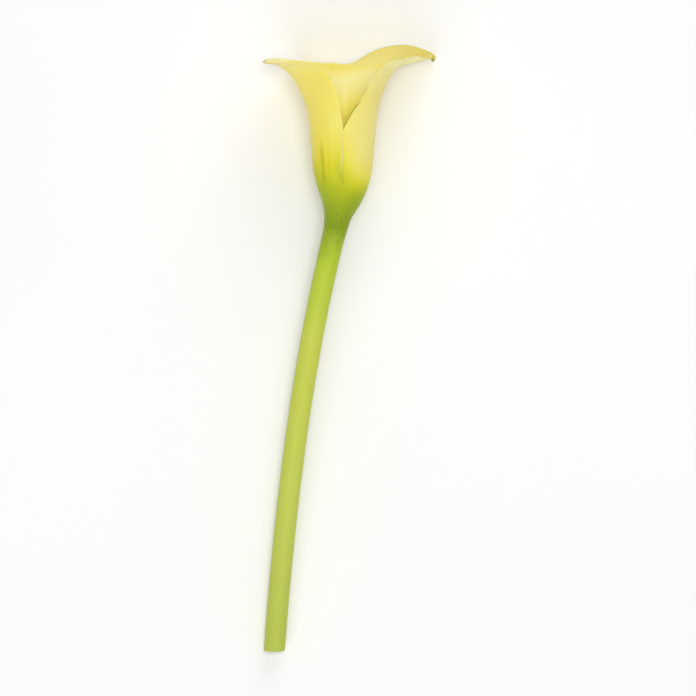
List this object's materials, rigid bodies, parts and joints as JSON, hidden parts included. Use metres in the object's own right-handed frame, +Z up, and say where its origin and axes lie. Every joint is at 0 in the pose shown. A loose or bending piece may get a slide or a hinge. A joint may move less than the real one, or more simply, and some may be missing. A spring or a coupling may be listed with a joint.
{
  "type": "arum lily flower",
  "caption": "Cut arum lily flower lying on its back: a yellow trumpet-shaped sheath round a finger of florets, on a curved green stem.",
  "frame": {"origin": "middle of the lying flower's footprint, on the surface that it lies on", "axes": "+Y from the stem's cut end to the bloom, +Z up, +X to the right when looking down with the bloom away from the viewer"},
  "size_m": [0.0594, 0.2134, 0.0446],
  "materials": {
    "stem_green": null,
    "spathe_yellow": null,
    "spadix_gold": null
  },
  "bodies": {
    "root": {"stem": "stem_green", "spathe": "spathe_yellow", "spadix": "spadix_gold"}
  },
  "joints": []
}
